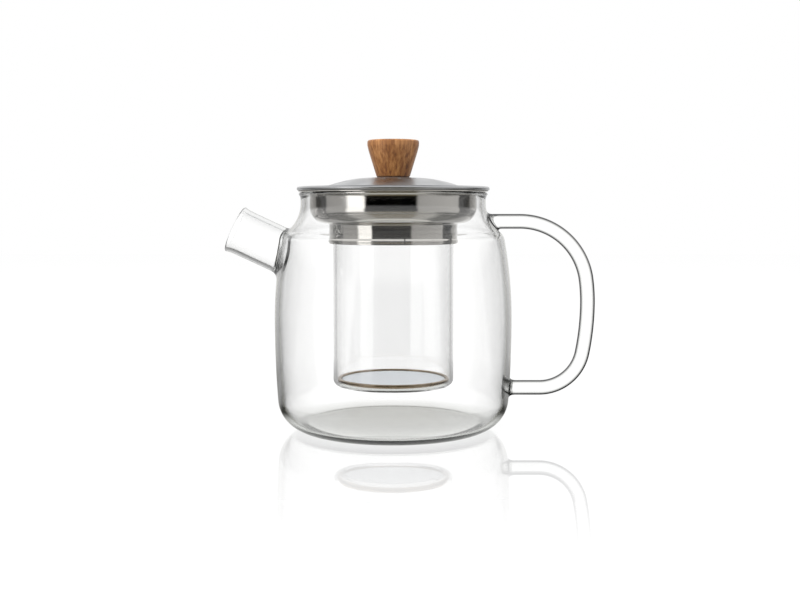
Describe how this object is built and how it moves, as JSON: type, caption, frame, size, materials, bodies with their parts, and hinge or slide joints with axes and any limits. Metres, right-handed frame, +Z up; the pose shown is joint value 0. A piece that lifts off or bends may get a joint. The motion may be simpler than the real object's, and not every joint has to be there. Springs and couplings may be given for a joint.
{
  "type": "glass teapot with infuser",
  "caption": "Clear glass teapot with a tube spout and rod handle, a lift-out steel and glass infuser with a mesh bottom, and a steel lid with a wooden knob.",
  "frame": {"origin": "centre of the flat base, on the pot's own axis", "axes": "+Z up along the pot's axis; -X towards the spout, +X towards the handle; the XZ plane cuts spout and handle in half"},
  "size_m": [0.1701, 0.109, 0.1327],
  "materials": {
    "pot_glass": "clear fire-polished borosilicate",
    "tube_glass": "clear drawn borosilicate tube",
    "polished_steel": "polished, slightly drawn",
    "lid_steel": "spun satin",
    "ring_steel": "rolled, bright edges",
    "mesh_steel": "plain woven wire",
    "screw_steel": "bright",
    "insert_brass": "turned",
    "beech": "turned and oiled, upright grain",
    "clear_silicone": "translucent satin",
    "dark_silicone": "matt"
  },
  "bodies": {
    "pot": {"glass_body": "pot_glass", "spout": "pot_glass", "handle": "pot_glass"},
    "infuser": {"infuser_collar": "polished_steel", "tube_gasket": "clear_silicone", "infuser_glass": "tube_glass"},
    "filter": {"mesh_ring": "ring_steel", "mesh_disc": "mesh_steel"},
    "lid": {"lid": "lid_steel", "lid_ring": "lid_steel", "knob": "beech", "knob_seal": "dark_silicone", "knob_insert": "insert_brass", "knob_screw": "screw_steel", "screw_washer": "screw_steel"}
  },
  "joints": [
    {"name": "infuser_lift", "type": "slide", "parent": "pot", "child": "infuser", "axis": [0, 0, 1], "range_m": [0, 0.1]},
    {"name": "filter_lift", "type": "slide", "parent": "infuser", "child": "filter", "axis": [0, 0, 1], "range_m": [0, 0.085]},
    {"name": "lid_lift", "type": "slide", "parent": "infuser", "child": "lid", "axis": [0, 0, 1], "range_m": [0, 0.06]}
  ]
}
